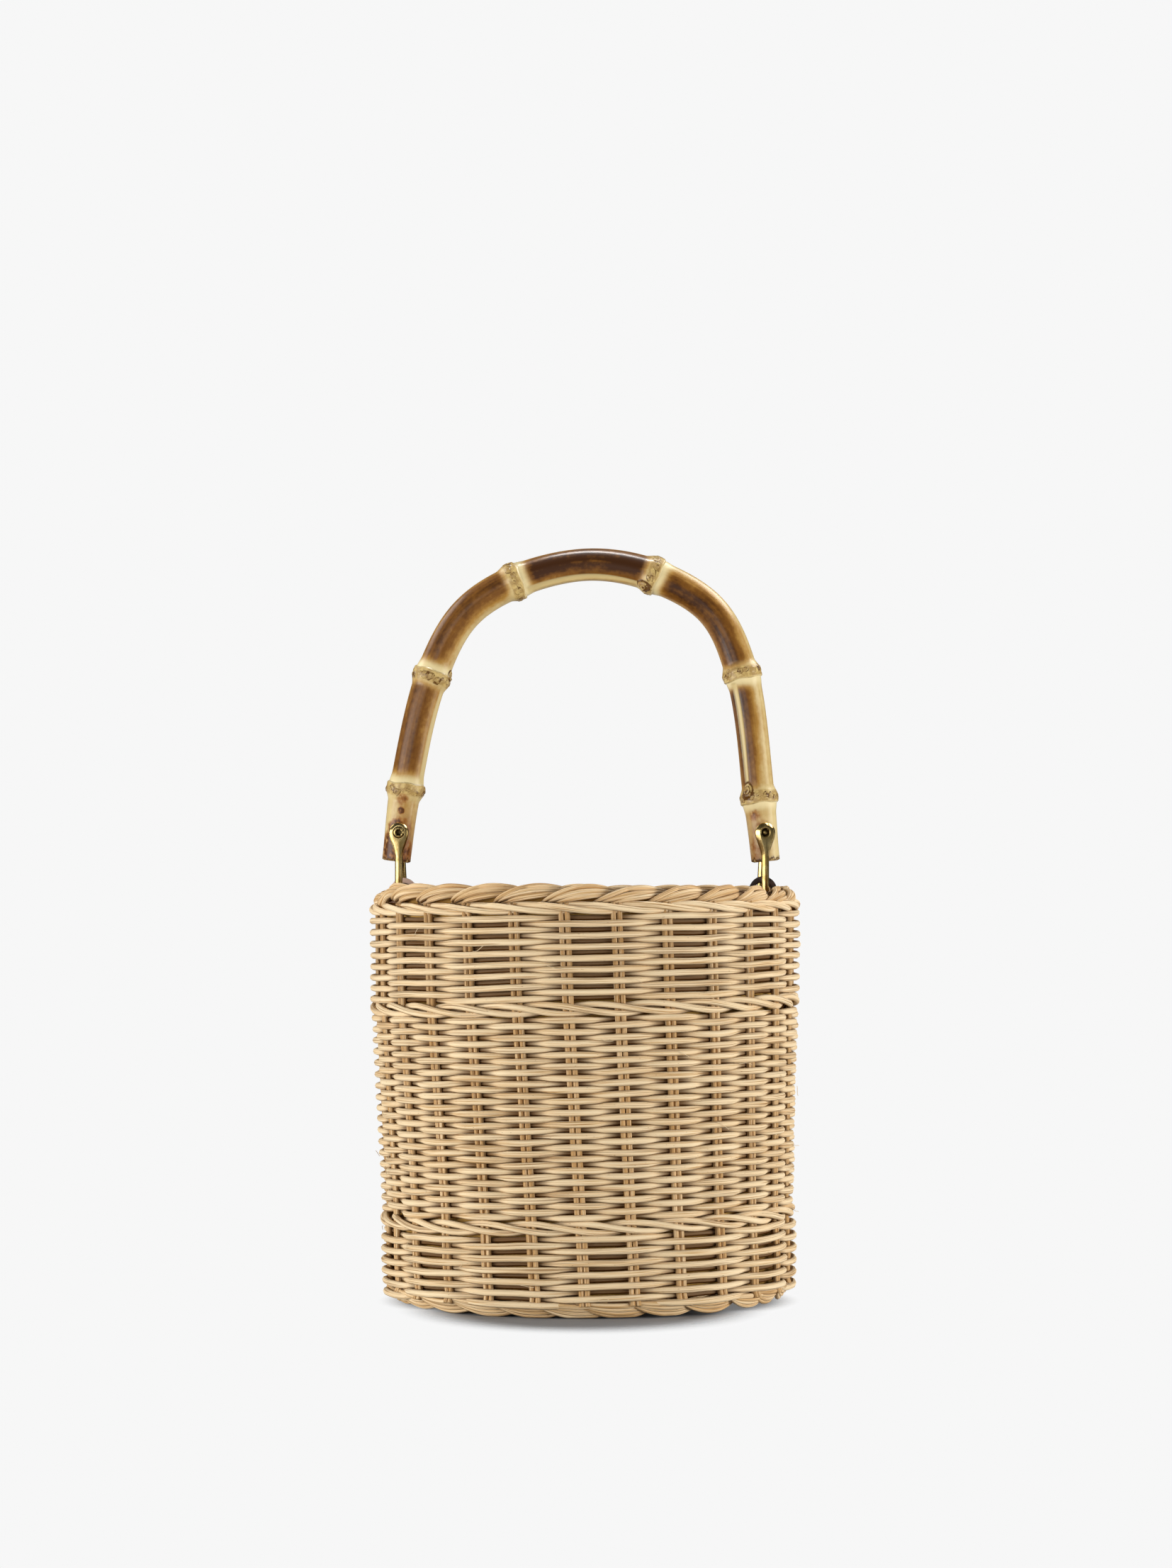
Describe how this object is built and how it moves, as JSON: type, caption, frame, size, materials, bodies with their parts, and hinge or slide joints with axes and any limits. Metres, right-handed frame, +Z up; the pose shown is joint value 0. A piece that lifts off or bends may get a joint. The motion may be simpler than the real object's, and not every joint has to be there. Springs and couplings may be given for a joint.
{
  "type": "rattan bucket handbag",
  "caption": "Round bucket handbag woven from rattan, open at the top and lined with cloth, with a bent bamboo handle in brass shackles on leather loops.",
  "frame": {"origin": "on the floor, under the middle of the round rim", "axes": "+Z up, +X to the right seen from the front along the handle's plane, +Y to the back"},
  "size_m": [0.1812, 0.182, 0.3178],
  "materials": {
    "rattan": "natural, unvarnished rattan core",
    "lining_cloth": "plain woven cloth",
    "bamboo": "scorched and lacquered bamboo root",
    "brass": "polished yellow brass",
    "leather": "smooth dark brown leather"
  },
  "bodies": {
    "basket": {"woven_wall": "rattan", "rim_wale": "rattan", "waist_wale": "rattan", "lower_wale": "rattan", "rim_border": "rattan", "foot_border": "rattan", "base": "rattan", "lining": "lining_cloth", "leather_loop_left": "leather", "leather_loop_right": "leather"},
    "left_shackle": {"shackle_left": "brass", "screw_left": "brass"},
    "handle": {"bamboo_handle": "bamboo"},
    "right_shackle": {"shackle_right": "brass", "screw_right": "brass"}
  },
  "joints": [
    {"name": "left_shackle_swing", "type": "hinge", "parent": "basket", "child": "left_shackle", "pos_m": [-0.07815, 0, 0.1732], "axis": [0, 1, 0], "range_deg": [-40, 40]},
    {"name": "left_pin", "type": "hinge", "parent": "left_shackle", "child": "handle", "pos_m": [-0.07815, 0, 0.1972], "axis": [0, 1, 0], "range_deg": [-40, 40]},
    {"name": "right_pin", "type": "hinge", "parent": "handle", "child": "right_shackle", "pos_m": [0.0763, 0, 0.1972], "axis": [0, 1, 0], "range_deg": [-40, 40]}
  ],
  "couplings": [
    {"joint": "left_pin", "follows": "left_shackle_swing", "ratio": -1},
    {"joint": "right_pin", "follows": "left_shackle_swing", "ratio": 1}
  ]
}
